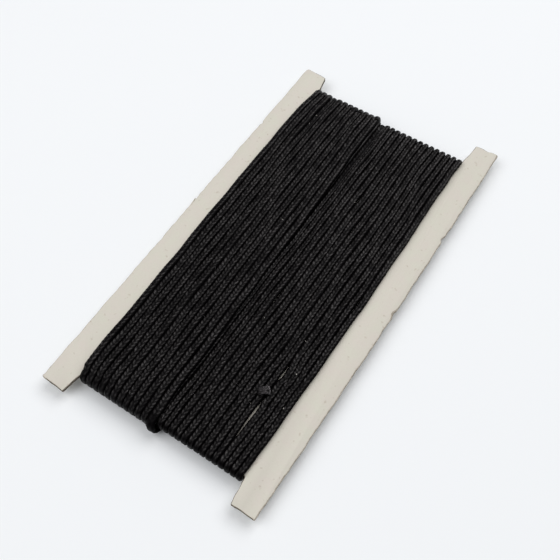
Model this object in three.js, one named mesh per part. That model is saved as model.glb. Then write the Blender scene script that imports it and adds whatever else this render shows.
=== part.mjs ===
import * as THREE from "three";
import { LoftGeometry } from "three/addons/geometries/LoftGeometry.js";
import { ParametricGeometry } from "three/addons/geometries/ParametricGeometry.js";

// A card of braided cord: an H-shaped greyboard card lying flat, with a black cord wound lengthwise
// round its waist through the notch in each short end. Part of the winding has a second layer.
// Millimetres, +Z up. X runs across the card, Y along it, and z = 0 is the surface it lies on.

// Board
const CARD_WIDTH = 100;
const CARD_LENGTH = 191;
const BOARD_THICKNESS = 1.5;
const CORNER_ROUND = 0.8;
const WORN_CORNER_ROUND = 1.8;
const NOTCH_ROUND = 1.2;
const NOTCHES = {
  far: { mouthLeft: -39.9, mouthRight: 39.9, floorLeft: -37.3, floorRight: 38.2, floorY: 81.7 },
  near: { mouthLeft: -40.2, mouthRight: 40.1, floorLeft: -38.4, floorRight: 38.3, floorY: -85 },
};

// Cord and its layers
const CLEARANCE = 0.3;
const ONE_LAYER = 2.6;
const SECOND_LAYER_RISE = 2.1;
const NOTCH_SECOND_LAYER_RISE = 1.4;
const TWO_LAYERS = ONE_LAYER + SECOND_LAYER_RISE;
const DOUBLE_TURNS = 12;
const SINGLE_TURNS = 15;
const ALL_TURNS = DOUBLE_TURNS + SINGLE_TURNS;

// Edges of the winding: on the open faces, and where the notches pull it in
const FACE_LEFT = -38.7;
const FACE_RIGHT = 38.8;
const FAR_EDGES = { left: -36.9, right: 37.8 };
const NEAR_EDGES = { left: -38.0, right: 37.9 };
const PULL_IN_LENGTH = 20;
const STEP_X = -2.6;
const STEP_SLANT = -1.05 / 82;
const UNEVEN_PITCH = 0.05;
const UNEVEN_HEIGHT = 0.14;

// One ridge of the winding: places across a turn, and how far each lies below the crown
const VALLEY_DROP = 0.95;
const SHOULDER_DROP = 0.25;
const RIDGE = [
  { place: 0, drop: VALLEY_DROP },
  { place: 0.22, drop: SHOULDER_DROP },
  { place: 0.5, drop: 0 },
  { place: 0.78, drop: SHOULDER_DROP },
];

// The gap between two turns of the single layer, where the cord's cut end looks out
const GAP_TURN = 23;
const GAP = { nearY: -80, widestY: -54, farY: -39, halfWidth: 0.9, closed: 0.06, floor: 0.4 };
const GAP_REACH_TURNS = 3;
const CUT_END_SIDES = 8;
const CUT_END_SECTIONS = [
  { x: 27.95, y: -53.0, rise: 1.2, heading: 90, pitch: 90, width: 2.4, thickness: 1.4 },
  { x: 27.95, y: -53.0, rise: 2.6, heading: 95, pitch: 90, width: 2.8, thickness: 1.4 },
  { x: 27.85, y: -53.2, rise: 3.45, heading: 110, pitch: 60, width: 3.4, thickness: 1.2 },
  { x: 27.2, y: -53.8, rise: 3.85, heading: 123, pitch: 15, width: 3.6, thickness: 1.0 },
  { x: 25.6, y: -54.9, rise: 3.65, heading: 123, pitch: -12, width: 3.2, thickness: 0.9 },
  { x: 23.7, y: -56.2, rise: 3.3, heading: 123, pitch: -15, width: 2.6, thickness: 0.8 },
];

// The outer end leaves the last turn at the near notch and crosses the underside on a slant
const TAIL_WIDTH = 3;
const TAIL_THICKNESS = SECOND_LAYER_RISE - CLEARANCE;
const TAIL_ROUNDING = 0.8;
const TAIL_WRAP = [
  { x: -2.3, degrees: -230, slack: 0.22 },
  { x: -2.1, degrees: -210, slack: 0.3 },
  { x: -1.8, degrees: -180, slack: 0.5 },
  { x: -1.3, degrees: -150, slack: 0.5 },
  { x: -0.7, degrees: -120, slack: 0.3 },
  { x: -0.1, degrees: -90, slack: 0 },
];
const TAIL_RUN = [
  { x: 0.8, y: -75 },
  { x: 4.6, y: -40 },
  { x: 9.7, y: 4 },
  { x: 14.6, y: 46 },
];

// Heights that follow from the layers
const INNER_HALF = BOARD_THICKNESS / 2 + CLEARANCE;
const MID_Z = TWO_LAYERS + INNER_HALF;
const CARD_Z = MID_Z - BOARD_THICKNESS / 2;
const FAR_CENTRE_Y = NOTCHES.far.floorY - BOARD_THICKNESS / 2;
const NEAR_CENTRE_Y = NOTCHES.near.floorY + BOARD_THICKNESS / 2;

// Where the winding is cut into sections along each face, near to far on top and back beneath
const TOP_STATIONS = [-78, -71, -64, -59, -55.5, -52, -48, -42, -24, 10, 40, 66, 75];
const UNDER_STATIONS = [74, 60, 0, -60, -76];
const WRAP_STEPS = 6;
const EDGE_SQUARENESS = 0.3;

const greyboard = new THREE.MeshStandardMaterial({ color: 0xd4cdc2, roughness: 0.95, metalness: 0 });
const blackBraid = new THREE.MeshStandardMaterial({ color: 0x1b1a1b, roughness: 0.85, metalness: 0 });

const { lerp, smoothstep, degToRad } = THREE.MathUtils;

// An outline through corners, each cut short and rounded by its own amount
function roundedOutline(corners) {
  const shape = new THREE.Shape();
  corners.forEach((corner, i) => {
    const at = new THREE.Vector2(corner.x, corner.y);
    const before = corners[(i + corners.length - 1) % corners.length];
    const after = corners[(i + 1) % corners.length];
    const start = new THREE.Vector2(before.x - corner.x, before.y - corner.y).setLength(corner.round).add(at);
    const end = new THREE.Vector2(after.x - corner.x, after.y - corner.y).setLength(corner.round).add(at);
    if (i === 0) {
      shape.moveTo(start.x, start.y);
    } else {
      shape.lineTo(start.x, start.y);
    }
    shape.quadraticCurveTo(at.x, at.y, end.x, end.y);
  });
  shape.closePath();
  return shape;
}

function makeCard() {
  const side = CARD_WIDTH / 2;
  const end = CARD_LENGTH / 2;
  const { far, near } = NOTCHES;
  const outline = roundedOutline([
    { x: -side, y: -end, round: CORNER_ROUND },
    { x: near.mouthLeft, y: -end, round: CORNER_ROUND },
    { x: near.floorLeft, y: near.floorY, round: NOTCH_ROUND },
    { x: near.floorRight, y: near.floorY, round: NOTCH_ROUND },
    { x: near.mouthRight, y: -end, round: CORNER_ROUND },
    { x: side, y: -end, round: WORN_CORNER_ROUND },
    { x: side, y: end, round: CORNER_ROUND },
    { x: far.mouthRight, y: end, round: CORNER_ROUND },
    { x: far.floorRight, y: far.floorY, round: NOTCH_ROUND },
    { x: far.floorLeft, y: far.floorY, round: NOTCH_ROUND },
    { x: far.mouthLeft, y: end, round: CORNER_ROUND },
    { x: -side, y: end, round: WORN_CORNER_ROUND },
  ]);
  const geometry = new THREE.ExtrudeGeometry(outline, {
    depth: BOARD_THICKNESS,
    bevelEnabled: false,
    curveSegments: 3,
  });
  const mesh = new THREE.Mesh(geometry, greyboard);
  mesh.name = "card";
  mesh.position.z = CARD_Z;
  return mesh;
}

// A section of the winding on a face: "out" points away from the board
function faceStation(y, up) {
  const secondRise = SECOND_LAYER_RISE;
  return { y, z: MID_Z + up * INNER_HALF, outY: 0, outZ: up, top: up > 0, lastTurn: up > 0 ? 1 : 0, secondRise };
}

// Sections round a notch's floor, whose inner line is squarer than its outer one; the pull of the cord
// beds the second layer deeper there
function wrapStations(centreY, startDegrees, lastTurnAt) {
  const stations = [];
  for (let i = 0; i <= WRAP_STEPS; i += 1) {
    const angle = degToRad(startDegrees - (180 * i) / WRAP_STEPS);
    const outY = Math.cos(angle);
    const outZ = Math.sin(angle);
    const square = (part) => Math.sign(part) * Math.abs(part) ** EDGE_SQUARENESS;
    const y = centreY + INNER_HALF * square(Math.abs(outY) < 1e-9 ? 0 : outY);
    const z = MID_Z + INNER_HALF * square(Math.abs(outZ) < 1e-9 ? 0 : outZ);
    const secondRise = NOTCH_SECOND_LAYER_RISE;
    stations.push({ y, z, outY, outZ, top: false, lastTurn: lastTurnAt(i / WRAP_STEPS), secondRise });
  }
  return stations;
}

const STATIONS = [
  ...TOP_STATIONS.map((y) => faceStation(y, 1)),
  ...wrapStations(FAR_CENTRE_Y, 90, (along) => 1 - smoothstep(along, 0.4, 1)),
  ...UNDER_STATIONS.map((y) => faceStation(y, -1)),
  ...wrapStations(NEAR_CENTRE_Y, -90, (along) => smoothstep(along, 0.84, 1)),
];

// How wide the gap between two turns stands open, as half its width
function gapHalfWidth(station) {
  if (!station.top) {
    return GAP.closed;
  }
  const fromNear = smoothstep(station.y, GAP.nearY, GAP.widestY);
  const fromFar = 1 - smoothstep(station.y, GAP.widestY, GAP.farY);
  return GAP.closed + GAP.halfWidth * fromNear * fromFar;
}

// X of a place counted in turns from the left edge, slanted, pulled in and parted as the turns are
function turnX(turns, station) {
  const toEnd = Math.min(FAR_CENTRE_Y - station.y, station.y - NEAR_CENTRE_Y);
  const pulled = 1 - smoothstep(toEnd, 0, PULL_IN_LENGTH);
  const notch = station.y > 0 ? FAR_EDGES : NEAR_EDGES;
  const left = lerp(FACE_LEFT, notch.left, pulled);
  const right = lerp(FACE_RIGHT, notch.right, pulled);
  const step = STEP_X + STEP_SLANT * station.y;
  const uneven = turns + UNEVEN_PITCH * Math.sin((Math.PI * turns * 5) / 3);
  if (turns <= DOUBLE_TURNS) {
    return lerp(left, step, uneven / DOUBLE_TURNS);
  }
  const x = lerp(step, right, (uneven - DOUBLE_TURNS) / SINGLE_TURNS);
  const away = turns - GAP_TURN;
  return x + Math.sign(away) * gapHalfWidth(station) * Math.exp(-Math.abs(away) / GAP_REACH_TURNS);
}

// Height of a turn's crown over the board: two layers, one layer, or the last turn as it leaves
function crownHeight(turn, station) {
  const uneven = station.top ? UNEVEN_HEIGHT * Math.sin(turn * 2.3) : 0;
  if (turn >= DOUBLE_TURNS) {
    return ONE_LAYER + uneven;
  }
  const twoLayers = ONE_LAYER + station.secondRise + uneven;
  return turn === DOUBLE_TURNS - 1 ? lerp(ONE_LAYER, twoLayers, station.lastTurn) : twoLayers;
}

// The crown is pressed flat where the winding lies on the surface
function ridgeHeight(turn, row, station) {
  const flat = station.outZ === -1 && row.drop < VALLEY_DROP;
  return crownHeight(turn, station) - (flat ? 0 : row.drop);
}

// The valley between two turns lies below the lower of the two
function valleyHeight(turn, station) {
  const lower = Math.min(crownHeight(turn - 1, station), crownHeight(turn, station));
  return lower - VALLEY_DROP;
}

// Points across the winding: up the left side, over every turn, and down the right side
function windingColumns() {
  const leftSide = [
    { inset: 0.9, height: 0, rises: 0 },
    { inset: 0, height: ONE_LAYER / 2, rises: 0 },
    { inset: 0.5, height: ONE_LAYER, rises: 0 },
    { inset: 0.25, height: ONE_LAYER - SHOULDER_DROP * 3, rises: 1 },
  ];
  const rightSide = [
    { inset: 0, height: ONE_LAYER / 2 },
    { inset: 0.8, height: 0 },
  ];
  const columns = leftSide.map(({ inset, height, rises }) => ({
    x: (station) => turnX(0, station) + inset,
    height: (station) => height + rises * station.secondRise,
  }));
  for (let turn = 0; turn < ALL_TURNS; turn += 1) {
    for (const row of RIDGE) {
      if (row.place === 0 && turn === 0) {
        continue;
      }
      if (row.place === 0 && turn === GAP_TURN) {
        const open = (station) => (gapHalfWidth(station) - GAP.closed) / GAP.halfWidth;
        for (const beside of [-0.02, 0.02]) {
          columns.push({
            x: (station) => turnX(turn + beside, station),
            height: (station) => lerp(valleyHeight(turn, station), GAP.floor, open(station)),
          });
        }
        continue;
      }
      columns.push({
        x: (station) => turnX(turn + row.place, station),
        height: (station) => (row.place === 0 ? valleyHeight(turn, station) : ridgeHeight(turn, row, station)),
      });
    }
  }
  for (const { inset, height } of rightSide) {
    columns.push({ x: (station) => turnX(ALL_TURNS, station) - inset, height: () => height });
  }
  return columns;
}

// One closed ring: columns across the winding, sections round the card
function makeWinding() {
  const columns = windingColumns();
  const surface = (u, v, point) => {
    const column = columns[Math.round(u * columns.length) % columns.length];
    const station = STATIONS[Math.round(v * STATIONS.length) % STATIONS.length];
    const height = column.height(station);
    point.set(column.x(station), station.y + height * station.outY, station.z + height * station.outZ);
  };
  const geometry = new ParametricGeometry(surface, columns.length, STATIONS.length);
  const mesh = new THREE.Mesh(geometry, blackBraid);
  mesh.name = "cord_winding";
  return mesh;
}

// The cut end where the winding was begun: up out of the gap and over the turn beside it. A section
// heads some degrees from +Y towards -X, and climbs by its pitch
function cutEndSection({ x, y, rise, heading, pitch, width, thickness }) {
  const turn = degToRad(heading);
  const climb = degToRad(pitch);
  const ahead = new THREE.Vector3(-Math.sin(turn), Math.cos(turn), 0);
  const across = new THREE.Vector3(-ahead.y, ahead.x, 0);
  const over = ahead.clone().multiplyScalar(-Math.sin(climb)).setZ(Math.cos(climb));
  const centre = new THREE.Vector3(x, y, MID_Z + INNER_HALF + rise);
  return Array.from({ length: CUT_END_SIDES }, (_, i) => {
    const angle = (2 * Math.PI * i) / CUT_END_SIDES;
    const point = across.clone().multiplyScalar((Math.cos(angle) * width) / 2);
    return point.addScaledVector(over, (Math.sin(angle) * thickness) / 2).add(centre);
  });
}

function makeCutEnd() {
  const geometry = new LoftGeometry(CUT_END_SECTIONS.map(cutEndSection), { capStart: true, capEnd: true });
  const mesh = new THREE.Mesh(geometry, blackBraid);
  mesh.name = "cord_end";
  return mesh;
}

// A flattened section of the outer end, with its thickness along "out"
function tailSection(centre, out) {
  const half = TAIL_THICKNESS / 2;
  const side = TAIL_WIDTH / 2;
  const flat = side - half * TAIL_ROUNDING;
  const rim = [[-flat, -half], [flat, -half], [side, 0], [flat, half], [-flat, half], [-side, 0]];
  return rim.map(([across, lift]) => {
    const point = new THREE.Vector3(across, 0, 0).addScaledVector(out, lift);
    return point.add(centre);
  });
}

// The outer end: round the near notch, then pressed between the winding and the surface
function makeTail() {
  const reach = INNER_HALF + ONE_LAYER + CLEARANCE + TAIL_THICKNESS / 2;
  const wrap = TAIL_WRAP.map(({ x, degrees, slack }) => {
    const out = new THREE.Vector3(0, Math.cos(degToRad(degrees)), Math.sin(degToRad(degrees)));
    const centre = new THREE.Vector3(x, NEAR_CENTRE_Y, MID_Z).addScaledVector(out, reach + slack);
    return tailSection(centre, out);
  });
  const down = new THREE.Vector3(0, 0, -1);
  const run = TAIL_RUN.map(({ x, y }) => tailSection(new THREE.Vector3(x, y, TAIL_THICKNESS / 2), down));
  const geometry = new LoftGeometry([...wrap, ...run], { capStart: true, capEnd: true });
  const mesh = new THREE.Mesh(geometry, blackBraid);
  mesh.name = "cord_tail";
  return mesh;
}

const cardOfCord = new THREE.Group();
cardOfCord.add(makeCard(), makeWinding(), makeCutEnd(), makeTail());

export default cardOfCord;
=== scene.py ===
"""Looks of a card of braided cord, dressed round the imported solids.

A black braided cord is wound lengthwise round an H-shaped greyboard card. Lengths are in millimetres
until a mesh is made. X runs across the card, Y along it towards the far end, Z up. A name that ends in
RANGE holds where a change begins and where it is full; a NEAR range counts towards the near end, as -Y.
"""
import math

import bpy
import numpy as np
from mathutils import Matrix, Vector


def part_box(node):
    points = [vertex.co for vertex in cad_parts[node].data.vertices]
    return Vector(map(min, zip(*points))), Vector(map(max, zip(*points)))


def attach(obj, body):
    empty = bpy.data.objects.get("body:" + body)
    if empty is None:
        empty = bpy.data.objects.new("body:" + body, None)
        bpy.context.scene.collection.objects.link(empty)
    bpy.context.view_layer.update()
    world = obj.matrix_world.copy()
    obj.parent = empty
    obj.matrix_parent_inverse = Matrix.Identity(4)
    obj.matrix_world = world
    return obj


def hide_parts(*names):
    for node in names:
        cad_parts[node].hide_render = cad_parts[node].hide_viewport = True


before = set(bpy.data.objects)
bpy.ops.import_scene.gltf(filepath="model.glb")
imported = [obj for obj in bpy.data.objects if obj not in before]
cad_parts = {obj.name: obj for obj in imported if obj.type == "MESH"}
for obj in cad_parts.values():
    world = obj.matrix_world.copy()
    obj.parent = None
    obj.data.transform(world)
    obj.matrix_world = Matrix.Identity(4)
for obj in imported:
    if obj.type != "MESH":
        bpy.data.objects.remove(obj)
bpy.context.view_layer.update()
MM = 0.001


def box_mm(node):
    """Lowest and highest corner of a solid, in millimetres."""
    return [np.array(corner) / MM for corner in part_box(node)]


CARD_LOW, CARD_HIGH = box_mm("card")
BOARD_MID = (CARD_LOW[2] + CARD_HIGH[2]) / 2
HALF_BOARD = (CARD_HIGH[2] - CARD_LOW[2]) / 2

# The photograph's camera, aimed at a point on the card's top face
PHOTO_PIXELS = 560
FOCAL_PIXELS = 826
SENSOR_WIDTH = 36
VIEW_AZIMUTH = 35.76
VIEW_ELEVATION = 59.71
VIEW_ROLL = -2.62
VIEW_DISTANCE = 339.3
VIEW_TARGET = (3.5, -10.1)

# The card's notches: their floors, and their left and right corners at the floor and at the mouth
NOTCH_FLOOR_FAR = 81.7
NOTCH_FLOOR_NEAR = -85.2
FAR_CORNERS = (-37.3, 37.8)
NEAR_CORNERS = (-37.7, 38.3)
FAR_MOUTH = (-39.9, 39.5)
NEAR_MOUTH = (-39.45, 39.45)

# The cord; where it is squeezed narrower it stands higher, by this power of the narrowing
CORD_HALF_HEIGHT = 1.3
CORD_HALF_WIDTH = 1.45
WIDEST_HALF_WIDTH = 1.62
SQUEEZE_POWER = 0.3

# Heights of the turns' middles over the board, and distances from the notches over which runs settle
FIRST_LAYER = 1.45
SECOND_LAYER = 3.65
SECOND_LAYER_AT_NOTCH = 2.8
SETTLING_RANGE = (-2, 12)
FREE_RANGE = (0, 12)
NEAR_BEDDING = 0.3
NEAR_BEDDING_RANGE = (74, 84)

# Turns that lie unlike the rest, by layer and number from the left
ODD_TURNS = {("open", 0): "first open", ("upper", 3): "sunk", ("upper", 11): "last"}
FAR_END_RANGE = (70, 82)
LAST_TURN_BULGE = 0.5
SUNK_DEPTH = 0.45
SUNK_RANGE = (35, 60)

# How flat those turns are pressed, and how far a pressed turn sinks
FIRST_OPEN_NEAR_PRESS = 0.5
FIRST_OPEN_FAR_PRESS = 0.4
LAST_TURN_NEAR_PRESS = 0.12
NEAR_PRESS_RANGE = (72, 84)
FAR_PRESS_RANGE = (30, 65)
PRESSED_SINK = 0.5

# Painted light on the stitches, against 1 at mid length: above 1 a painted highlight, below 1 painted
# shade; STEP_SHADE is the share taken off as painted shade beside the step
FAR_PAINTED_LIGHT = 1.35
SUNK_PAINTED_LIGHT = 0.6
UPPER_EDGE_PAINTED_LIGHT = 0.5
UPPER_EDGE_NEAR_RANGE = (82.5, 85.2)
LOWER_EDGE_PAINTED_LIGHT = 0.25
LOWER_EDGE_LEAN_RANGE = (0.0, 0.5)
LAST_BEND_PAINTED_LIGHT = 0.12
LAST_BEND_LENGTH = 20
STEP_SHADE = 0.6
STEP_SHADE_RANGE = (15, 50)
STEP_LIT_RANGE = (76, 82)

# The winding's edges at places along the card, with the step between its layers
EDGE_COLUMNS = ("place", "left", "upper_step", "lower_step", "right")
EDGE_ROWS = (
    (-86, -37.0, -1.0, -3.0, 37.65),
    (-83, -38.35, -1.0, -3.0, 37.95),
    (-79, -38.35, -1.0, -3.0, 38.1),
    (-68, -38.05, -1.05, -2.95, 38.15),
    (-40, -38.5, -1.5, -2.9, 39.0),
    (0, -38.75, -2.0, -2.8, 38.9),
    (40, -39.3, -2.8, -2.7, 39.0),
    (62, -39.05, -3.35, -2.65, 38.15),
    (75, -38.5, -3.6, -2.6, 38.25),
    (85, -37.7, -3.8, -2.6, 38.8),
)
WINDING_EDGES = dict(zip(EDGE_COLUMNS, np.array(EDGE_ROWS).T))
COVERED_INSET = 0.3

# Widths of the turns from left to right, as they lie at mid length
UPPER_WIDTHS = (3.0, 3.25, 3.05, 3.05, 3.05, 3.2, 3.1, 2.95, 2.95, 3.15, 3.15, 3.45)
LOWER_WIDTHS = (2.4, 2.6, 2.45, 3.1, 3.0, 3.05, 2.9, 2.88, 2.88, 2.95, 2.65, 3.05, 2.75, 2.7, 2.8)
COVERED_TURNS = 12

# Small waves, each as height, length over a radian, change from run to run or line to line, and start
SWAY_WAVES = ((0.16, 11.3, 0.21, 0), (0.1, 5.1, 0.37, 0.5), (0.06, 2.7, 0.9, 0))
STAND_WAVES = ((0.15, 24.0, 1.3, 0), (0.07, 4.3, 2.1, 0))
TWIST_WAVES = ((0.1, 46, 0, 0), (0.1, 97, 0, 1), (0.05, 15.5, 0, 0))
STITCH_WAVES = ((0.35, 1.9, 2.1, 0), (0.35, 5.3, 1.3, 0))
CUTTING_WAVES = ((0.07, 1.7, 0, 0), (0.09, 3.9, 0, 1), (0.05, 0.8, 0, 0))
BURR_WAVES = ((0.04, 0.83, 9, 0), (0.04, 2.1, 23, 0))

# The braid: columns of slanted stitches round the cord, some fuller and some slacker
BRAID_COLUMNS = 6
STITCH_LENGTH = 1.85
STITCH_LEAN = 0.9
STITCH_RELIEF = 0.38
STITCH_ROUNDNESS = 0.85
MEAN_CREST = 0.55
STITCH_SHUFFLE = (12.99, 78.23, 43758.5)
FULLNESS_RELIEF = (0.7, 1.3)
# The stitches' painted highlight: its share by fullness, its floor in the grooves, and the crest range
# over which it rises
FULLNESS_SHINE = (0.27, 1.06)
GROOVE_SHINE = 0.04
CREST_RANGE = (0.1, 1.0)
FLANK_RELIEF = 0.45

# The lit crown of a cord, outside which its flanks are painted shade, begins and is full at these cosines,
# less where its stitches run together
CROWN_RANGE = (0.3, 0.95)
CROWN_WIDENING = (0.4, 0.3)
NEAR_EVENNESS = -0.1
FAR_EVENNESS = 0.3
EVENNESS_RANGE = (-80, 70)

# The cord's section, flat on the runs and rounder where its way out leans along the card in a bend
SQUARENESS = 0.9
RUN_FLATNESS = 0.55
BEND_FLATNESS = 1.0
BEND_NARROWING = 0.17
BEND_RELIEF = 0.45
BEND_LEAN_RANGE = (0.1, 0.7)

# Mesh steps along the cord, and places round it that are finer on the outward side
FINE_STEP = STITCH_LENGTH / 5
UNDER_STEP = STITCH_LENGTH / 2.5
COARSE_STEP = 3.0
TURNS_A_PIECE = 7
TABLE_CLEARANCE = 0.03
OUTWARD_ANGLES = np.radians(np.linspace(-104, 104, 17))
INWARD_ANGLES = np.radians([150, 210])
RING_ANGLES = np.concatenate([OUTWARD_ANGLES, INWARD_ANGLES])

# Ways out over the board's top face and beneath it, in degrees, and where one turn becomes the next
OVER = 90
BENEATH = 270
CROSSING_RANGE = (0.1, 0.9)

# The way in to the first turn, which comes from under the runs beneath
LEAD_IN_START = 25.0
LEAD_IN_SLANT = 0.057
LEAD_IN_PRESS = 0.7
LEAD_IN_PRESS_RANGE = (6, 30)

# The outer end: across the near notch's floor and away beneath the open layer
TAIL_START_X = -0.3
TAIL_END = (14.6, 46.0)
TAIL_TURNING_RANGE = (math.radians(110), math.radians(310))
TAIL_WIDENING_RANGE = (0.05, 0.3)
TAIL_SLACK = 1.8
TAIL_TUCK = 1.0
TAIL_TUCK_LENGTH = 12

# The slit between two turns of the open layer, as places along it and how far it opens there
SLIT_X = 27.65
SLIT_ROWS = (
    (-79, 0), (-76, 0.26), (-74, 0.41), (-69, 0.46), (-64, 0.54), (-61.5, 0.51), (-60, 0.41),
    (-58.5, 0.1), (-55, 0.15), (-51, -0.1), (-48.4, -0.1), (-47.3, 0.54), (-44, 0.57), (-41, 0.47),
    (-39, 0.05), (-36, -0.1), (-30, 0),
)
# Shares of the opening by which turns on either side stand aside, and how far off that ends
SLIT_RIGHT_SHARE = 1.35
SLIT_RIGHT_REACH = 11
SLIT_LEFT_SHARE = 0.4
SLIT_LEFT_REACH = 7

# The cord's cut end that looks out of the slit: x, y and height over the top face, and half sizes
CUT_END_ROUTE = (
    (27.8, -53.9, 0.9), (28.3, -54.3, 3.0), (28.3, -54.3, 5.2), (26.0, -55.5, 4.3), (24.4, -56.5, 3.0),
)
CUT_END_ACROSS = (0.68, -0.733, 0)
CUT_END_POINTS = 36
CUT_END_HALF_WIDTH = 1.1
CUT_END_SPREAD = 0.5
CUT_END_SPREAD_RANGE = (0.1, 0.4)
CUT_END_TAPER = 0.25
CUT_END_TAPER_RANGE = (0.6, 1)
CUT_END_HALF_HEIGHT = 0.65
CUT_END_THINNING = 0.3
CUT_END_THINNING_RANGE = (0.3, 1)

# Filaments combed open over the cut end: points of its route where they begin, and how many they pass
COMBED_SEED = 11
COMBED_FILAMENTS = 40
COMBED_FIRST = (11, 26)
COMBED_COUNT = (6, 16)
COMBED_LIFT = (0.9, 1.3)
COMBED_SPREAD = 0.1
COMBED_THICKNESS = 0.22

# Loose filaments that stand out along its fold: points of its route, and places across it
FOLD_SEED = 3
FOLD_FILAMENTS = 4
FOLD_POINTS = (15, 17)
FOLD_LANES = (-1.05, -0.4, 0.3, 1.05)
FOLD_LANE_SPREAD = 0.12
FOLD_BULGE = 0.7
FOLD_LIFT = 1.1
FOLD_SPREAD = 0.08
FOLD_THICKNESS = 0.11

# Lint that clings to the winding: x, y, height over the top face, and thickness
LINT_PLACES = (
    (32.7, -42.8, 2.9, 0.45), (36.2, -57.0, 2.85, 0.42), (-28.8, 69.1, 4.8, 0.24),
    (-28.9, 63.4, 4.8, 0.2), (-10.2, 12.8, 4.9, 0.22), (8.8, -29.1, 2.8, 0.2), (10.1, 38.1, 2.8, 0.2),
    (28.1, -29.1, 2.8, 0.2), (30.1, 37.4, 2.8, 0.2), (24.7, -62.0, 2.8, 0.1),
)
LINT_SEED = 5
LINT_HALF_LENGTH = (0.2, 0.35)
LINT_ARCH = 0.25

# Stray filaments: x from left to right and height over the top face on each layer, and their form
STRAY_FILAMENTS = 90
UPPER_STRAYS = ((-37, -6), 4.95)
OPEN_STRAYS = ((1, 37), 2.75)
STRAY_PLACES = (-78, 76)
STRAY_LENGTH = (0.8, 2.2)
STRAY_CURL = 0.4
STRAY_RISE = (0.1, 0.5)
STRAY_THICKNESS = 0.07

# A filament's line: points that draw it out and points along it
FILAMENT_CONTROLS = 4
COMBED_POINTS = 6
FOLD_LINE_POINTS = 7
LINT_POINTS = 4
STRAY_POINTS = 6

# A filament's tube: the angles round it, its thin end's share, and a way that no filament runs in
FILAMENT_ANGLES = np.radians((0, 120, 240))
FILAMENT_TAPER = 0.5
FILAMENT_UPRIGHT = (0.31, 0.2, 0.93)

# The board's outline: steps along its sides and round its corners, and the one long curve among them
OUTLINE_STEP = 1.3
CORNER_POINTS = 5
LONG_CURVE = 10
LONG_CURVE_POINTS = 40
CUTTING_INSET = 0.05

# The board's cut edge as shares of its thickness and insets, and the angle over which it looks sharp
EDGE_SECTION = ((0, 0.2), (0.1, 0.04), (0.35, 0.0), (0.62, 0.05), (0.9, 0.04), (1, 0.26))
EDGE_SHARPNESS = math.radians(40)

# Where along the card its short ends begin, and how far in from its long sides
BOARD_END_REACH = 80
LONG_SIDE_DEPTH = 1.0

# Nicks in the edge, and flakes torn off the top ply at its rim, as x, y, reach and depth
EDGE_NICKS = ((50.5, 43.3, 1.3, 0.7), (50.8, 1.5, 1.3, 0.5), (-50, 56, 1.0, 0.6))
TOP_CHIPS = ((45.2, 95.9, 1.4, 0.6), (50.4, 95.9, 1.6, 0.5), (50.8, 1.2, 2.4, 0.7))
CHIP_ROUNDNESS = 0.6
CHIP_SHARE_RANGE = (0.4, 0.9)

# Slivers torn loose along the left edge: points as x, y and height over the top face, and thickness
EDGE_SLIVERS = {
    "lifted_ply": (((-50.0, -1.4, -0.3), (-50.25, 1.2, -0.3), (-50.75, 4.6, -0.3)), 1.1),
    "torn_ply": (((-50.15, -2.0, -0.35), (-50.1, -4.0, -0.4), (-50.15, -5.4, -0.4)), 0.7),
}
SLIVER_POINTS = 8

# Sizes of the yarn's patterns, across and along the cord
STREAK_SIZE = (0.25, 1.25)
DULL_SIZE = (4, 50 / 3)
BUNDLE_SIZE = (5 / 12, 10 / 21)
LOCK_SIZE = 0.5

# Sizes of the board's patterns; its plies run four times as far along the edge as they are thick
MOTTLE_SIZE = 5
PULP_SIZE = 0.7
FLECK_SPACING = 1.8
PLY_SIZE = 0.4
PLY_STRETCH = (0.25, 0.25, 1.0)

# The studio, in metres and watts
TABLE_COLOUR = "#f3f5f7"
TABLE_HALF_SIZE = 2.5
ROOM_COLOUR = "#fafbfd"
ROOM_STRENGTH = 0.259
SOFT_BOX_SIZE = 1.2
SOFT_BOXES = {"soft_box_far": ((0.25, 0.75, 1.3), 13.5), "soft_box_left": ((-0.53, -0.53, 1.3), 10.9)}


def make_camera():
    """The camera at the photograph's viewing angle."""
    azimuth, elevation, roll = (math.radians(v) for v in (VIEW_AZIMUTH, VIEW_ELEVATION, VIEW_ROLL))
    flat = math.cos(elevation)
    back = Vector((math.sin(azimuth) * flat, -math.cos(azimuth) * flat, math.sin(elevation)))
    level = Vector((math.cos(azimuth), math.sin(azimuth), 0))
    right = level * math.cos(roll) + back.cross(level) * math.sin(roll)
    data = bpy.data.cameras.new("photo_camera")
    data.sensor_width = SENSOR_WIDTH
    data.lens = SENSOR_WIDTH * FOCAL_PIXELS / PHOTO_PIXELS
    camera = bpy.data.objects.new("photo_camera", data)
    target = Vector((*VIEW_TARGET, CARD_HIGH[2])) * MM
    turn = Matrix((right, back.cross(right), back)).transposed()
    camera.matrix_world = Matrix.Translation(target + back * VIEW_DISTANCE * MM) @ turn.to_4x4()
    bpy.context.scene.collection.objects.link(camera)
    bpy.context.scene.camera = camera


make_camera()


def smooth(value, low, high):
    """0 below low, 1 above high, eased between them."""
    share = np.clip((value - low) / (high - low), 0, 1)
    return share * share * (3 - 2 * share)


def mix(start, end, share):
    """The value at a share of the way from start to end."""
    return start + (end - start) * share


def unit(rows):
    """Each row as a vector of length 1."""
    return rows / np.linalg.norm(rows, axis=1)[:, None]


def waves(rows, along, beside=0):
    """The sum of a table's small waves at distances along, for runs or lines beside each other."""
    return sum(
        height * np.sin(along / length + change * beside + start)
        for height, length, change, start in rows
    )


def linear(hex_colour):
    """An sRGB hex colour as linear RGBA."""
    srgb = [int(hex_colour[i:i + 2], 16) / 255 for i in (1, 3, 5)]
    return (*[c / 12.92 if c <= 0.04045 else ((c + 0.055) / 1.055) ** 2.4 for c in srgb], 1.0)


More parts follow.
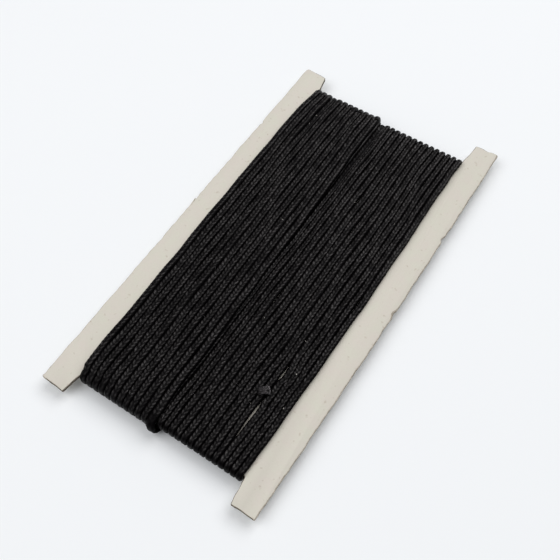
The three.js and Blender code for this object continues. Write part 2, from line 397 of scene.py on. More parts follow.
def add_node(tree, kind, inputs=None, tones=(), **settings):
    """Adds a node with its settings; an input given as a socket is linked, any other is set.

    The tones of a colour ramp are given as places on it and colours.
    """
    node = tree.nodes.new(kind)
    for name, value in settings.items():
        setattr(node, name, value)
    for name, value in (inputs or {}).items():
        if isinstance(value, bpy.types.NodeSocket):
            tree.links.new(value, node.inputs[name])
        else:
            node.inputs[name].default_value = value
    for number, (place, colour) in enumerate(tones):
        node.color_ramp.elements[number].position = place
        node.color_ramp.elements[number].color = linear(colour)
    return node


def new_material(name):
    """An empty node material and its tree."""
    material = bpy.data.materials.new(name)
    material.use_nodes = True
    material.node_tree.nodes.clear()
    return material, material.node_tree


def close_material(tree, shader):
    """Gives a finished shader to the material's surface."""
    add_node(tree, "ShaderNodeOutputMaterial", {"Surface": shader.outputs["BSDF"]})


def per_mm(size):
    """Factors that give a pattern its size across and along the cord."""
    return 1 / size[0], 1 / size[1], 0.0


def polyester_braid():
    """Black polyester braid: dull filament yarn; the grey light on its stitches' tops is a painted
    highlight, and their grooves and the cord's flanks are painted shade.
    """
    material, tree = new_material("polyester_braid")
    place = add_node(tree, "ShaderNodeAttribute", attribute_name="braid_mm").outputs["Vector"]
    # The third value of braid_mm is the painted shine worked out along the cord
    stored_painted_shine = add_node(tree, "ShaderNodeSeparateXYZ", {"Vector": place}).outputs["Z"]
    # Filaments run along the cord: streaks a quarter of a millimetre wide, drawn as coarse as shows
    streak_place = add_node(
        tree, "ShaderNodeVectorMath", {0: place, 1: per_mm(STREAK_SIZE)}, operation="MULTIPLY")
    streaks = add_node(tree, "ShaderNodeTexNoise", {
        "Vector": streak_place.outputs["Vector"], "Scale": 1.0, "Detail": 2.0, "Roughness": 0.6})
    # Whole lengths of cord were pulled harder and lie duller
    dull_place = add_node(
        tree, "ShaderNodeVectorMath", {0: place, 1: per_mm(DULL_SIZE)}, operation="MULTIPLY")
    dull = add_node(tree, "ShaderNodeTexNoise", {"Vector": dull_place.outputs["Vector"], "Scale": 1.0})
    uneven = add_node(tree, "ShaderNodeMapRange", {
        "Value": dull.outputs["Fac"], "From Min": 0.3, "From Max": 0.7, "To Min": 0.65, "To Max": 1.05})
    lengths = add_node(
        tree, "ShaderNodeMath", {0: stored_painted_shine, 1: uneven.outputs["Result"]}, operation="MULTIPLY")
    # Painted glints: bundles of filaments within a stitch, about half a millimetre wide, are painted
    # lighter or darker as if turned more or less to the light
    bundle_place = add_node(
        tree, "ShaderNodeVectorMath", {0: place, 1: per_mm(BUNDLE_SIZE)}, operation="MULTIPLY")
    bundles = add_node(tree, "ShaderNodeTexNoise", {
        "Vector": bundle_place.outputs["Vector"], "Scale": 1.0})
    painted_glint = add_node(tree, "ShaderNodeMapRange", {
        "Value": bundles.outputs["Fac"], "From Min": 0.3, "From Max": 0.7, "To Min": 0.2, "To Max": 1.75})
    painted_shine = add_node(tree, "ShaderNodeMath", {
        0: lengths.outputs["Value"], 1: painted_glint.outputs["Result"]}, operation="MULTIPLY")
    # Painted light: the colour runs from near black, painted shade, to grey, a painted highlight, as the
    # painted shine rises; the gloss follows it too
    colour = add_node(tree, "ShaderNodeValToRGB", {"Fac": painted_shine.outputs["Value"]},
                      tones=((0.0, "#050405"), (1.0, "#2d2929")))
    gloss = add_node(tree, "ShaderNodeMapRange", {
        "Value": painted_shine.outputs["Value"], "To Min": 0.02, "To Max": 0.5})
    bump = add_node(tree, "ShaderNodeBump", {
        "Height": streaks.outputs["Fac"], "Strength": 0.5, "Distance": 0.08 * MM})
    shader = add_node(tree, "ShaderNodeBsdfPrincipled", {
        "Base Color": colour.outputs["Color"], "Roughness": 0.42, "Normal": bump.outputs["Normal"],
        "Specular IOR Level": gloss.outputs["Result"]})
    close_material(tree, shader)
    return material


def cut_yarn(name, dark, light):
    """Cut polyester filaments: the same yarn, combed open, painted lighter than the braid where single
    filaments and locks catch light.
    """
    material, tree = new_material(name)
    place = add_node(tree, "ShaderNodeTexCoord").outputs["Object"]
    tone = add_node(tree, "ShaderNodeTexNoise", {
        "Vector": place, "Scale": 1 / (LOCK_SIZE * MM), "Detail": 2.0})
    colour = add_node(tree, "ShaderNodeValToRGB", {"Fac": tone.outputs["Fac"]},
                      tones=((0.3, dark), (0.7, light)))
    shader = add_node(tree, "ShaderNodeBsdfPrincipled", {
        "Base Color": colour.outputs["Color"], "Roughness": 0.5, "Specular IOR Level": 0.2})
    close_material(tree, shader)
    return material


def pale_lint():
    """Cotton lint and paper dust: small, white and matt."""
    material, tree = new_material("pale_lint")
    shader = add_node(tree, "ShaderNodeBsdfPrincipled", {
        "Base Color": linear("#cfcac2"), "Roughness": 0.9})
    close_material(tree, shader)
    return material


def greyboard():
    """Greyboard: pressed waste-paper pulp, matt grey-beige, with fibres, flecks and a faint mottle."""
    material, tree = new_material("greyboard")
    place = add_node(tree, "ShaderNodeTexCoord").outputs["Object"]
    # A pinkish and greenish mottle, fine pulp, and flecks of about 1 mm that stand far apart
    mottle, pulp, specks = (
        add_node(tree, "ShaderNodeTexNoise", {"Vector": place, "Scale": 1 / (size * MM), "Detail": detail})
        for size, detail in ((MOTTLE_SIZE, 3.0), (PULP_SIZE, 3.0), (FLECK_SPACING, 1.0))
    )
    fleck = add_node(tree, "ShaderNodeMapRange", {
        "Value": specks.outputs["Fac"], "From Min": 0.68, "From Max": 0.8})
    base = add_node(tree, "ShaderNodeValToRGB", {"Fac": mottle.outputs["Fac"]},
                    tones=((0.3, "#d7d0c7"), (0.7, "#d5d3c6")))
    grain = add_node(tree, "ShaderNodeMix", {
        "Factor": pulp.outputs["Fac"], 6: base.outputs["Color"], 7: linear("#c6beb1")}, data_type="RGBA")
    grain_light = add_node(tree, "ShaderNodeMix", {
        "Factor": 0.65, 6: grain.outputs[2], 7: base.outputs["Color"]}, data_type="RGBA")
    flecked = add_node(tree, "ShaderNodeMix", {
        "Factor": fleck.outputs["Result"], 6: grain_light.outputs[2], 7: linear("#c2b9ac")},
        data_type="RGBA")
    bump = add_node(tree, "ShaderNodeBump", {
        "Height": pulp.outputs["Fac"], "Strength": 0.35, "Distance": 0.1 * MM})
    shader = add_node(tree, "ShaderNodeBsdfPrincipled", {
        "Base Color": flecked.outputs[2], "Roughness": 0.9, "IOR": 1.45,
        "Normal": bump.outputs["Normal"]})
    close_material(tree, shader)
    return material


def cut_board_edge(name, dark, light):
    """The board's cut edge: torn fibres in plies, browner and darker than its face."""
    material, tree = new_material(name)
    place = add_node(tree, "ShaderNodeTexCoord").outputs["Object"]
    plies = add_node(tree, "ShaderNodeVectorMath", {0: place, 1: PLY_STRETCH}, operation="MULTIPLY")
    layers = add_node(tree, "ShaderNodeTexNoise", {
        "Vector": plies.outputs["Vector"], "Scale": 1 / (PLY_SIZE * MM), "Detail": 3.0})
    colour = add_node(tree, "ShaderNodeValToRGB", {"Fac": layers.outputs["Fac"]},
                      tones=((0.3, dark), (0.7, light)))
    bump = add_node(tree, "ShaderNodeBump", {
        "Height": layers.outputs["Fac"], "Strength": 0.6, "Distance": 0.2 * MM})
    shader = add_node(tree, "ShaderNodeBsdfPrincipled", {
        "Base Color": colour.outputs["Color"], "Roughness": 0.95, "Normal": bump.outputs["Normal"]})
    close_material(tree, shader)
    return material


BRAID = polyester_braid()
# The cut yarn is painted lighter where it catches light; its lit copy, lighter still, is a painted
# highlight on the filaments along the cut end's fold
CUT_YARN = cut_yarn("cut_polyester_yarn", "#0c0b0c", "#767174")
LIT_YARN = cut_yarn("painted_lit_polyester_yarn", "#6a6668", "#a09b9d")
PALE_LINT = pale_lint()
BOARD_FACE = greyboard()
# The cut edge's colour on the long sides, and a darker copy for the short ends and notches that is painted
# shade
BOARD_SIDE = cut_board_edge("greyboard_long_side", "#857b6c", "#cdc4b6")
BOARD_END_SHADED = cut_board_edge("greyboard_cut_end_painted_shade", "#39332d", "#857b6d")


def add_piece(name, points, quads, rims, material):
    """A piece riding on the part, from points in millimetres, four-sided faces and end rims."""
    mesh = bpy.data.meshes.new(name)
    quads = np.asarray(quads, np.int32).reshape(-1, 4)
    corners = [quads.ravel(), *[np.asarray(rim, np.int32) for rim in rims]]
    counts = np.concatenate([np.full(len(quads), 4), [len(rim) for rim in rims]]).astype(np.int32)
    starts = np.concatenate([[0], np.cumsum(counts)[:-1]]).astype(np.int32)
    mesh.vertices.add(len(points))
    mesh.vertices.foreach_set("co", (np.asarray(points) * MM).astype(np.float32).ravel())
    mesh.loops.add(int(counts.sum()))
    mesh.loops.foreach_set("vertex_index", np.concatenate(corners).astype(np.int32))
    mesh.polygons.add(len(counts))
    mesh.polygons.foreach_set("loop_start", starts)
    mesh.update(calc_edges=True)
    mesh.validate()
    mesh.shade_smooth()
    mesh.materials.append(material)
    piece = bpy.data.objects.new(name, mesh)
    bpy.context.scene.collection.objects.link(piece)
    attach(piece, "root")
    return piece


def ring_faces(index):
    """Four-sided faces between rings of points that follow each other, each ring closed on itself."""
    beside = np.roll(index, -1, axis=1)
    return np.stack([index[:-1], beside[:-1], beside[1:], index[1:]], -1).reshape(-1, 4)


def edge(name, y):
    """One of the winding's edges at places along the card."""
    return np.interp(y, WINDING_EDGES["place"], WINDING_EDGES[name])


def layer_edges(layer, y):
    """Left and right edge of a layer of turns at places along the card."""
    if layer == "upper":
        return edge("left", y), edge("upper_step", y)
    if layer == "covered":
        return edge("left", y) + COVERED_INSET, edge("lower_step", y)
    return edge("lower_step", y), edge("right", y)


def turn_table():
    """Every turn in winding order: the first layer from right to left, the second from left to right."""
    layers = {"covered": [1] * COVERED_TURNS, "open": LOWER_WIDTHS, "upper": UPPER_WIDTHS}
    rows = {}
    for layer, widths in layers.items():
        shares = np.array(widths) / sum(widths)
        middles = np.cumsum(shares) - shares / 2
        rows[layer] = [
            {"layer": layer, "role": ODD_TURNS.get((layer, number)), "middle": middle, "share": share}
            for number, (middle, share) in enumerate(zip(middles, shares))
        ]
    return rows["open"][::-1] + rows["covered"][::-1] + rows["upper"]


def turn_place(turn, y):
    """Middle and width of a turn at places along the card."""
    left, right = layer_edges(turn["layer"], y)
    return mix(left, right, turn["middle"]), (right - left) * turn["share"]


def to_notch(y):
    """Distance to the nearer notch's floor."""
    return np.minimum(NOTCH_FLOOR_FAR - y, y - NOTCH_FLOOR_NEAR)


def turn_level(turn, y):
    """Height of a turn's middle over the board; the notches bed the turns deeper."""
    bedding = NEAR_BEDDING * smooth(-y, *NEAR_BEDDING_RANGE)
    if turn["layer"] != "upper":
        return np.full(np.shape(y), FIRST_LAYER) - bedding
    level = mix(SECOND_LAYER_AT_NOTCH, SECOND_LAYER, smooth(to_notch(y), *SETTLING_RANGE)) - bedding
    if turn["role"] == "last":
        level = level + LAST_TURN_BULGE * smooth(y, *FAR_END_RANGE)
    if turn["role"] == "sunk":
        level = level - SUNK_DEPTH * smooth(y, *SUNK_RANGE)
    return level


def turn_press(turn, y):
    """How flat a turn is pressed: the first open one at both ends, the last one at the near notch."""
    at_near = smooth(-y, *NEAR_PRESS_RANGE)
    if turn["role"] == "first open":
        return FIRST_OPEN_NEAR_PRESS * at_near + FIRST_OPEN_FAR_PRESS * smooth(y, *FAR_PRESS_RANGE)
    if turn["role"] == "last":
        return LAST_TURN_NEAR_PRESS * at_near
    return np.zeros(np.shape(y))


def turn_painted_light(turn, y, out_y):
    """Painted light on the stitches: a painted highlight at the far end, painted shade over the near
    floor's edge, on the sunk turn and beside the step.
    """
    painted_light = mix(1.0, FAR_PAINTED_LIGHT, smooth(y, *FAR_END_RANGE))
    if turn["layer"] == "upper":
        painted_light = mix(painted_light, UPPER_EDGE_PAINTED_LIGHT, smooth(-y, *UPPER_EDGE_NEAR_RANGE))
    else:
        painted_light = mix(painted_light, LOWER_EDGE_PAINTED_LIGHT, smooth(-out_y, *LOWER_EDGE_LEAN_RANGE))
    if turn["role"] == "sunk":
        painted_light = painted_light * mix(1.0, SUNK_PAINTED_LIGHT, smooth(y, *SUNK_RANGE))
    if turn["role"] == "first open":
        # Painted shade: this turn lies in the shade of the step beside it, and its stitches are painted
        # darker
        shade = STEP_SHADE * smooth(y, *STEP_SHADE_RANGE) * (1 - smooth(y, *STEP_LIT_RANGE))
        painted_light = painted_light * (1 - shade)
    return painted_light


def parted(x, y):
    """How far the open turns stand aside from the slit in which the cord's cut end lies."""
    opening = np.interp(y, *np.array(SLIT_ROWS).T)
    right = SLIT_RIGHT_SHARE * np.clip(1 - (x - SLIT_X) / SLIT_RIGHT_REACH, 0, 1)
    left = -SLIT_LEFT_SHARE * np.clip(1 + (x - SLIT_X) / SLIT_LEFT_REACH, 0, 1)
    return opening * np.where(x > SLIT_X, right, left)


def stretch(start, end, angles, length, step):
    """Samples along one straight or bend of the way round the board: skin point, way out, distance."""
    count = max(2, round(length / step))
    share = np.arange(count) / count
    place = mix(np.array(start), np.array(end), share[:, None])
    return place, np.radians(mix(angles[0], angles[1], share)), share * length, length


def run_beneath(start, end, step):
    """A straight run under the board."""
    return stretch((start, -HALF_BOARD), (end, -HALF_BOARD), (BENEATH, BENEATH), end - start, step)


def notch_bend(floor, angle, level, step):
    """The way round a notch's floor, from the face where the way out has this angle to the other face."""
    height = HALF_BOARD if angle == OVER else -HALF_BOARD
    bend = level * math.pi / 2
    return [
        stretch((floor, height), (floor, height), (angle, angle + 90), bend, step),
        stretch((floor, height), (floor, -height), (angle + 90, angle + 90), 2 * HALF_BOARD, step),
        stretch((floor, -height), (floor, -height), (angle + 90, angle + 180), bend, step),
    ]


def join_stretches(stretches):
    """Stretches end to end: skin points, ways out, and distance as a share of the whole."""
    lengths = [row[3] for row in stretches]
    starts = np.concatenate([[0], np.cumsum(lengths)])
    place, angle = (np.concatenate([row[i] for row in stretches]) for i in (0, 1))
    distance = np.concatenate([row[2] + start for row, start in zip(stretches, starts)])
    return place, angle, distance / starts[-1]


def joined(paths):
    """Several stretches of path as one."""
    return {key: np.concatenate([path[key] for path in paths]) for key in paths[0]}


def top_run(turn, step):
    """The run over the top face, from the far notch to the near one."""
    far, near = NOTCH_FLOOR_FAR, NOTCH_FLOOR_NEAR
    place, angle, *_ = stretch((far, HALF_BOARD), (near, HALF_BOARD), (OVER, OVER), far - near, step)
    y = place[:, 0]
    x, width = turn_place(turn, y)
    if turn["layer"] == "open":
        x = x + parted(x, y)
    return {
        "place": place,
        "angle": angle,
        "x": x,
        "level": turn_level(turn, y),
        "width": width,
        "loose": np.ones(len(y)),
        "pressed": turn_press(turn, y),
        "painted_light": turn_painted_light(turn, y, np.zeros(len(y))),
    }


def once_round(turn, following):
    """One turn: over the top, round the near notch, beneath, and up at the far notch to the next."""
    seen = turn["layer"] != "covered" or following["layer"] != "covered"
    fine, under = (FINE_STEP, UNDER_STEP) if seen else (COARSE_STEP, COARSE_STEP)
    far, near = NOTCH_FLOOR_FAR, NOTCH_FLOOR_NEAR
    place, angle, share = join_stretches([
        *notch_bend(near, OVER, turn_level(turn, near), fine),
        run_beneath(near, far, under),
        *notch_bend(far, BENEATH, turn_level(following, far), fine),
    ])
    y = place[:, 0]
    x_near, width_near = turn_place(turn, near)
    x_far, width_far = turn_place(following, far)
    back = {
        "place": place,
        "angle": angle,
        "x": mix(x_near, x_far, share),
        "level": mix(turn_level(turn, y), turn_level(following, y), smooth(share, *CROSSING_RANGE)),
        "width": mix(width_near, width_far, share),
        "loose": np.ones(len(y)),
        "pressed": np.where(share < 0.5, turn_press(turn, y), turn_press(following, y)),
        "painted_light": turn_painted_light(turn, y, np.cos(angle)),
    }
    return joined([top_run(turn, fine), back])


def lead_in(turn):
    """The way to the first turn: out from under the runs beneath, and up round the far notch."""
    far = NOTCH_FLOOR_FAR
    below = run_beneath(LEAD_IN_START, far, UNDER_STEP)
    place, angle, _ = join_stretches([below, *notch_bend(far, BENEATH, FIRST_LAYER, FINE_STEP)])
    y = place[:, 0]
    x, width = turn_place(turn, far)
    return {
        "place": place,
        "angle": angle,
        "x": x - LEAD_IN_SLANT * (far - y),
        "level": turn_level(turn, y),
        "width": np.full(len(y), width),
        "loose": np.zeros(len(y)),
        "pressed": LEAD_IN_PRESS * smooth(far - y, *LEAD_IN_PRESS_RANGE),
        "painted_light": turn_painted_light(turn, y, np.cos(angle)),
    }


def last_round(turn):
    """The last turn: over the top, aslant round the near notch, and away beneath to its tucked end."""
    near = NOTCH_FLOOR_NEAR
    end_x, end_y = TAIL_END
    place, angle, share = join_stretches([
        *notch_bend(near, OVER, SECOND_LAYER_AT_NOTCH, FINE_STEP), run_beneath(near, end_y, UNDER_STEP),
    ])
    y = place[:, 0]
    start_x, start_width = turn_place(turn, near)
    x = mix(start_x, TAIL_START_X, smooth(angle, *TAIL_TURNING_RANGE))
    x = x + (end_x - TAIL_START_X) * (y - near) / (end_y - near)
    hang = TAIL_SLACK * np.sin(np.clip((angle - math.pi / 2) / math.pi, 0, 1) * math.pi) ** 2
    tuck = TAIL_TUCK * smooth(y, end_y - TAIL_TUCK_LENGTH, end_y)
    back = {
        "place": place,
        "angle": angle,
        "x": x,
        "level": turn_level(turn, y) + hang - tuck,
        "width": mix(start_width, 2 * CORD_HALF_WIDTH, smooth(share, *TAIL_WIDENING_RANGE)),
        "loose": np.zeros(len(y)),
        "pressed": turn_press(turn, y),
        # Painted shade darkens the last turn round the near notch, fading out along the way beneath
        "painted_light": mix(LAST_BEND_PAINTED_LIGHT, 1.0, smooth(y, near, near + LAST_BEND_LENGTH)),
    }
    return joined([top_run(turn, FINE_STEP), back])


def wound_line(path):
    """Middle line, ways out, half sizes and painted light of the cord along a path round the board."""
    y = path["place"][:, 0]
    pressed = path["pressed"]
    # Between the notches the runs sway a little, much alike from one to the next, and rise and fall
    free = path["loose"] * smooth(to_notch(y), *FREE_RANGE)
    x = path["x"] + waves(SWAY_WAVES, y, path["x"]) * free
    level = path["level"] * (1 - pressed * PRESSED_SINK) + waves(STAND_WAVES, y, path["x"]) * free
    out = np.stack([np.zeros_like(x), np.cos(path["angle"]), np.sin(path["angle"])], 1)
    middle = np.stack([x, y, BOARD_MID + path["place"][:, 1]], 1) + out * level[:, None]
    half_width = np.minimum(path["width"] * 0.5, WIDEST_HALF_WIDTH)
    half_width = half_width * (1 - BEND_NARROWING * path["loose"] * smooth(out[:, 1], *BEND_LEAN_RANGE))
    half_height = CORD_HALF_HEIGHT * (CORD_HALF_WIDTH / half_width) ** SQUEEZE_POWER * (1 - pressed)
    return middle, out, half_width * (1 + pressed), half_height, path["painted_light"]


def braid_stitches(angle, length, evenness):
    """Height of the slanted stitches over the cord's mean surface, and the painted highlight on each, with
    painted shade in its grooves and on the cord's flanks.
    """
    wide = 2 * math.pi / BRAID_COLUMNS
    turned = (angle - waves(TWIST_WAVES, length)) / wide
    column = np.floor(turned)
    across = (turned - column - 0.5) * wide
    lean = np.where(column % 2 == 0, STITCH_LEAN, -STITCH_LEAN)
    wander = waves(STITCH_WAVES, length, column)
    phase = (length + wander + lean * across * CORD_HALF_WIDTH) / STITCH_LENGTH + 0.5 * (column % 2)
    roundness = np.clip(np.cos(across * math.pi / wide), 0, 1) ** STITCH_ROUNDNESS
    crest = mix(evenness, 1.0, np.abs(np.cos(math.pi * phase))) * roundness
    # A fixed shuffle makes each stitch a little fuller or slacker than the next
    by_stitch, by_column, spread = STITCH_SHUFFLE
    shuffle = np.sin(np.round(phase) * by_stitch + column * by_column) * spread
    fullness = shuffle - np.floor(shuffle)
    # Painted shade: the flanks of a cord lie deep between its neighbours, where no yarn catches the light,
    # so they are painted dark and their stitches stand out less
    crown_start, crown_full = (c - w * evenness for c, w in zip(CROWN_RANGE, CROWN_WIDENING))
    crown = smooth(np.cos(angle), crown_start, crown_full)
    painted_shine = crown * mix(GROOVE_SHINE, 1.0, smooth(crest, *CREST_RANGE)) * mix(*FULLNESS_SHINE, fullness)
    relief = STITCH_RELIEF * (crest * mix(*FULLNESS_RELIEF, fullness) - MEAN_CREST)
    return relief * mix(FLANK_RELIEF, 1.0, crown), painted_shine


def cord_mesh(name, line, start_length, material):
    """A closed tube of cord about a line; returns the piece and the cord's length so far."""
    middle, out, half_width, half_height, painted_light = line
    along = unit(np.gradient(middle, axis=0))
    out = unit(out - along * np.sum(out * along, 1)[:, None])
    side = np.cross(out, along)
    steps = np.linalg.norm(np.diff(middle, axis=0), axis=1)
    length = start_length + np.concatenate([[0], np.cumsum(steps)])
    sine, cosine = np.sin(RING_ANGLES), np.cos(RING_ANGLES)
    across = np.sign(sine) * np.abs(sine) ** SQUARENESS
    # The runs are pressed flat by their neighbours; round the far notch's floor the turns stand round
    flatness = mix(RUN_FLATNESS, BEND_FLATNESS, smooth(out[:, 1], *BEND_LEAN_RANGE))
    lift = np.sign(cosine) * np.abs(cosine) ** flatness[:, None]
    # The far half was drawn harder, and its stitches run together into ridges
    evenness = mix(NEAR_EVENNESS, FAR_EVENNESS, smooth(middle[:, 1], *EVENNESS_RANGE))
    relief, painted_shine = braid_stitches(RING_ANGLES[None, :], length[:, None], evenness[:, None])
    # Each turn's painted light scales its stitches' painted highlight
    painted_shine = painted_shine * painted_light[:, None]
    relief = relief * mix(1.0, BEND_RELIEF, smooth(np.abs(out[:, 1]), *BEND_LEAN_RANGE))[:, None]
    wide = half_width[:, None] * across + relief * sine
    high = half_height[:, None] * lift + relief * cosine
    points = middle[:, None] + side[:, None] * wide[..., None] + out[:, None] * high[..., None]
    points[..., 2] = np.maximum(points[..., 2], TABLE_CLEARANCE)
    index = np.arange(wide.size).reshape(wide.shape)
    # The ring runs the other way round than the board's, so its faces are turned over
    quads = ring_faces(index)[:, [0, 3, 2, 1]]
    rims = [index[0], index[-1][::-1]]
    piece = add_piece(name, points.reshape(-1, 3), quads, rims, material)
    # The attribute holds the places round and along the cord and the painted shine, which the braid's
    # colour reads
    store = piece.data.attributes.new("braid_mm", "FLOAT_VECTOR", "POINT")
    around = np.broadcast_to(RING_ANGLES * CORD_HALF_WIDTH, wide.shape)
    run = np.broadcast_to(length[:, None], wide.shape)
    store.data.foreach_set("vector", np.stack([around, run, painted_shine], -1).astype(np.float32).ravel())
    return piece, length[-1]


def make_winding():
    """All turns of the cord, in pieces of a few turns; returns the cord's length."""
    turns = turn_table()
    length = 0.0
    for first in range(0, len(turns) - 1, TURNS_A_PIECE):
        last = min(first + TURNS_A_PIECE, len(turns) - 1)
        rounds = [once_round(turns[i], turns[i + 1]) for i in range(first, last)]
        path = joined([lead_in(turns[0]), *rounds] if first == 0 else rounds)
        name = f"cord_turns_{first // TURNS_A_PIECE + 1}"
        piece, length = cord_mesh(name, wound_line(path), length, BRAID)
    tail, length = cord_mesh("cord_last_turn", wound_line(last_round(turns[-1])), length, BRAID)
    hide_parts("cord_winding")
    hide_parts("cord_tail")
    return length


def card_corners():
    """Corners of the board as x, y and rounding, counter-clockwise, as worn as in the photograph."""
    left, near, _ = CARD_LOW
    right, far, _ = CARD_HIGH
    return [
        (left - 0.35, near - 0.2, 0.6),
        (NEAR_MOUTH[0], near - 1.0, 0.6),
        (NEAR_CORNERS[0], NOTCH_FLOOR_NEAR, 1.2),
        (NEAR_CORNERS[1], NOTCH_FLOOR_NEAR, 1.2),
        (NEAR_CORNERS[1] + 0.6, near + 2.3, 1.5),
        (NEAR_MOUTH[1], near - 1.1, 0.6),
        (right - 0.1, near - 1.1, 0.6),
        (right - 0.2, near + 1.2, 0.9),
        (right + 0.2, near + 11, 3.0),
        (right + 0.8, 0, 25),
        (right, far + 1.2, 0.6),
        (FAR_MOUTH[1], far + 0.4, 0.6),
        (FAR_CORNERS[1], NOTCH_FLOOR_FAR, 1.2),
        (FAR_CORNERS[0], NOTCH_FLOOR_FAR, 1.2),
        (FAR_MOUTH[0] + 0.2, far - 0.5, 0.6),
        (left - 0.4, far + 0.35, 1.2),
    ]


def card_outline():
    """The H-shaped outline of the board, with the small waves and nicks of its cutting."""
    corners = card_corners()
    points = []
    for i, (x, y, rounding) in enumerate(corners):
        *following, next_rounding = corners[(i + 1) % len(corners)]
        at = np.array((x, y))
        before = np.array(corners[i - 1][:2])
        after = np.array(following)
        start = at + (before - at) / np.linalg.norm(before - at) * rounding
        way = (after - at) / np.linalg.norm(after - at)
        end = at + way * rounding
        for share in np.linspace(0, 1, CORNER_POINTS if rounding < LONG_CURVE else LONG_CURVE_POINTS):
            points.append(mix(mix(start, at, share), mix(at, end, share), share))
        stop = after - way * next_rounding
        count = max(1, round(np.linalg.norm(stop - end) / OUTLINE_STEP))
        points.extend(mix(end, stop, share) for share in np.arange(1, count) / count)
    points = np.array(points)
    ahead = np.roll(points, -1, 0) - np.roll(points, 1, 0)
    out = unit(np.stack([ahead[:, 1], -ahead[:, 0]], 1))
    way = np.cumsum(np.linalg.norm(points - np.roll(points, 1, 0), axis=1))
    wave = waves(CUTTING_WAVES, way)
    for x, y, reach, depth in EDGE_NICKS:
        distance = np.hypot(points[:, 0] - x, points[:, 1] - y) / reach
        wave = wave - depth * np.sqrt(np.clip(1 - distance ** 2, 0, 1))
    return points + out * (wave - CUTTING_INSET)[:, None], out, way


def make_card():
    """The greyboard card, its edges crushed a little by the cutting."""
    outline, out, way = card_outline()
    count = len(outline)
    chip = np.zeros(count)
    for x, y, reach, depth in TOP_CHIPS:
        distance = np.hypot(outline[:, 0] - x, outline[:, 1] - y) / reach
        chip += depth * np.clip(1 - distance, 0, 1) ** CHIP_ROUNDNESS
    rings = []
    for share, inset in EDGE_SECTION:
        burr = waves(BURR_WAVES, way, share) * (0 < share < 1)
        torn = chip * smooth(share, *CHIP_SHARE_RANGE)
        flat = outline - out * (inset + burr + torn)[:, None]
        rings.append(np.column_stack([flat, np.full(count, mix(CARD_LOW[2], CARD_HIGH[2], share))]))
    index = np.arange(len(rings) * count).reshape(len(rings), count)
    rims = [index[0][::-1], index[-1]]
    points = np.concatenate(rings)
    card = add_piece("greyboard_card", points, ring_faces(index), rims, BOARD_SIDE)
    card.data.materials.append(BOARD_FACE)
    card.data.materials.append(BOARD_END_SHADED)
    side_finish, face_finish, shaded_end_finish = range(3)
    card.data.set_sharp_from_angle(angle=EDGE_SHARPNESS)
    # The short ends and the notches get a darker cut-edge colour than the long sides, painted shade on the
    # ends that face away from the lamps
    beside_middle, along = np.abs(outline).T
    at_end = (along > BOARD_END_REACH) & (beside_middle < CARD_HIGH[0] - LONG_SIDE_DEPTH)
    walls = np.where(at_end, shaded_end_finish, side_finish)
    finishes = np.concatenate([np.tile(walls, len(rings) - 1), [face_finish, face_finish]])
    card.data.polygons.foreach_set("material_index", finishes.astype(np.int32))
    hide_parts("card")


def bend_through(controls, count):
    """Points along the smooth bend that control points draw out."""
    shares = np.linspace(0, 1, count)[:, None]
    rows = [np.broadcast_to(np.array(point, float), (count, 3)) for point in controls]
    while len(rows) > 1:
        rows = [mix(first, second, shares) for first, second in zip(rows, rows[1:])]
    return rows[0]


def filament_mesh(name, filaments, material):
    """Fine filaments, each a three-sided tube about its own line and as thick as is given with it."""
    points, quads, rims = [], [], []
    for line, thickness in filaments:
        along = unit(np.gradient(line, axis=0))
        side = unit(np.cross(along, FILAMENT_UPRIGHT))
        up = np.cross(side, along)
        radius = thickness / 2 * np.linspace(1, FILAMENT_TAPER, len(line))[:, None]
        ring = [line + (side * math.cos(v) + up * math.sin(v)) * radius for v in FILAMENT_ANGLES]
        index = len(points) * 3 + np.arange(len(line) * 3).reshape(-1, 3)
        points.extend(np.stack(ring, 1))
        quads.append(ring_faces(index))
        rims.extend([index[0][::-1], index[-1]])
    return add_piece(name, np.concatenate(points), np.concatenate(quads), rims, material)


def make_slivers():
    """Slivers of the board's ply, torn loose along its left edge."""
    finishes = {"lifted_ply": BOARD_FACE, "torn_ply": BOARD_SIDE}
    for name, (points, thickness) in EDGE_SLIVERS.items():
        line = bend_through(np.array(points) + (0, 0, CARD_HIGH[2]), SLIVER_POINTS)
        filament_mesh(name, [(line, thickness)], finishes[name])


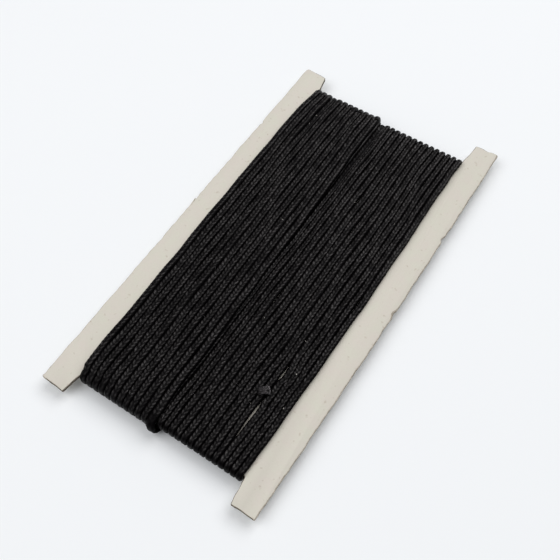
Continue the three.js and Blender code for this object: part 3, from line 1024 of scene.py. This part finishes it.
def make_cut_end(start_length):
    """The cord's cut end: up out of the slit, folded over to the left, its filaments combed open."""
    route = bend_through(np.array(CUT_END_ROUTE) + (0, 0, CARD_HIGH[2]), CUT_END_POINTS)
    along = unit(np.gradient(route, axis=0))
    across = np.array(CUT_END_ACROSS)
    out = unit(np.cross(along, across))
    share = np.linspace(0, 1, CUT_END_POINTS)
    half_width = CUT_END_HALF_WIDTH + CUT_END_SPREAD * smooth(share, *CUT_END_SPREAD_RANGE)
    half_width = half_width - CUT_END_TAPER * smooth(share, *CUT_END_TAPER_RANGE)
    half_height = CUT_END_HALF_HEIGHT - CUT_END_THINNING * smooth(share, *CUT_END_THINNING_RANGE)
    line = (route, out, half_width, half_height, np.ones(CUT_END_POINTS))
    piece, _ = cord_mesh("cord_cut_end", line, start_length, BRAID)
    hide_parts("cord_end")
    shuffle = np.random.default_rng(COMBED_SEED)
    combed = []
    for lane in np.linspace(-1, 1, COMBED_FILAMENTS):
        first = shuffle.integers(*COMBED_FIRST)
        last = min(first + shuffle.integers(*COMBED_COUNT), CUT_END_POINTS - 1)
        rows = np.linspace(first, last, FILAMENT_CONTROLS).astype(int)
        lift = half_height[rows] * shuffle.uniform(*COMBED_LIFT)
        line = route[rows] + across * (lane * half_width[rows])[:, None] + out[rows] * lift[:, None]
        line = line + shuffle.normal(0, COMBED_SPREAD, (FILAMENT_CONTROLS, 3))
        combed.append((bend_through(line, COMBED_POINTS), COMBED_THICKNESS))
    # Where the end folds over, loose filaments stand out along the fold, in the lit yarn that paints a
    # highlight along the fold
    shuffle = np.random.default_rng(FOLD_SEED)
    fold = []
    for _ in range(FOLD_FILAMENTS):
        row = shuffle.integers(*FOLD_POINTS)
        lanes = np.array(FOLD_LANES) + shuffle.normal(0, FOLD_LANE_SPREAD, FILAMENT_CONTROLS)
        bulge = along[row] * (FOLD_BULGE * (lanes ** 2 - 1))[:, None]
        line = route[row] + across * (lanes * half_width[row])[:, None] + bulge
        line = line + out[row] * half_height[row] * FOLD_LIFT
        line = line + shuffle.normal(0, FOLD_SPREAD, (FILAMENT_CONTROLS, 3))
        fold.append((bend_through(line, FOLD_LINE_POINTS), FOLD_THICKNESS))
    filament_mesh("cut_end_filaments", combed, CUT_YARN)
    filament_mesh("cut_end_fold", fold, LIT_YARN)


def make_lint():
    """Specks of pale lint and a few stray filaments on the winding."""
    shuffle = np.random.default_rng(LINT_SEED)
    lint, strays = [], []
    for x, y, height, thickness in LINT_PLACES:
        turn = shuffle.uniform(0, math.pi)
        way = np.array((math.cos(turn), math.sin(turn), 0)) * shuffle.uniform(*LINT_HALF_LENGTH)
        middle = np.array((x, y, CARD_HIGH[2] + height))
        controls = [middle - way, middle + (0, 0, LINT_ARCH), middle + way]
        lint.append((bend_through(controls, LINT_POINTS), thickness))
    for _ in range(STRAY_FILAMENTS):
        span, height = UPPER_STRAYS if shuffle.random() < 0.5 else OPEN_STRAYS
        x = shuffle.uniform(*span)
        start = np.array((x, shuffle.uniform(*STRAY_PLACES), CARD_HIGH[2] + height))
        way = np.append(shuffle.normal(0, 1, 2), 0)
        way *= shuffle.uniform(*STRAY_LENGTH) / np.linalg.norm(way)
        curl = np.append(shuffle.normal(0, STRAY_CURL, 2), shuffle.uniform(*STRAY_RISE))
        controls = [start, start + way * 0.5 + curl, start + way]
        strays.append((bend_through(controls, STRAY_POINTS), STRAY_THICKNESS))
    filament_mesh("lint", lint, PALE_LINT)
    filament_mesh("stray_filaments", strays, CUT_YARN)


def make_floor():
    """A pale matt table, wide enough to fill the picture."""
    material, tree = new_material("matt_white_table")
    shader = add_node(tree, "ShaderNodeBsdfPrincipled", {
        "Base Color": linear(TABLE_COLOUR), "Roughness": 0.85, "Specular IOR Level": 0.2})
    close_material(tree, shader)
    mesh = bpy.data.meshes.new("table")
    half = TABLE_HALF_SIZE
    corners = [(-half, -half, 0), (half, -half, 0), (half, half, 0), (-half, half, 0)]
    mesh.from_pydata(corners, [], [(0, 1, 2, 3)])
    mesh.materials.append(material)
    table = bpy.data.objects.new("table", mesh)
    bpy.context.scene.collection.objects.link(table)


def make_light():
    """Two big soft boxes, one beyond the card and one before its left side, in an even white room."""
    world = bpy.data.worlds.new("white_room")
    bpy.context.scene.world = world
    world.use_nodes = True
    tree = world.node_tree
    tree.nodes.clear()
    room = add_node(tree, "ShaderNodeBackground", {
        "Color": linear(ROOM_COLOUR), "Strength": ROOM_STRENGTH})
    add_node(tree, "ShaderNodeOutputWorld", {"Surface": room.outputs["Background"]})
    for name, (place, watts) in SOFT_BOXES.items():
        data = bpy.data.lights.new(name, "AREA")
        data.size = SOFT_BOX_SIZE
        data.energy = watts
        lamp = bpy.data.objects.new(name, data)
        lamp.location = place
        lamp.rotation_euler = (-Vector(place)).to_track_quat("-Z", "Y").to_euler()
        bpy.context.scene.collection.objects.link(lamp)
    bpy.context.scene.view_settings.view_transform = "Standard"


make_card()
make_slivers()
CORD_LENGTH = make_winding()
make_cut_end(CORD_LENGTH)
make_lint()
make_floor()
make_light()
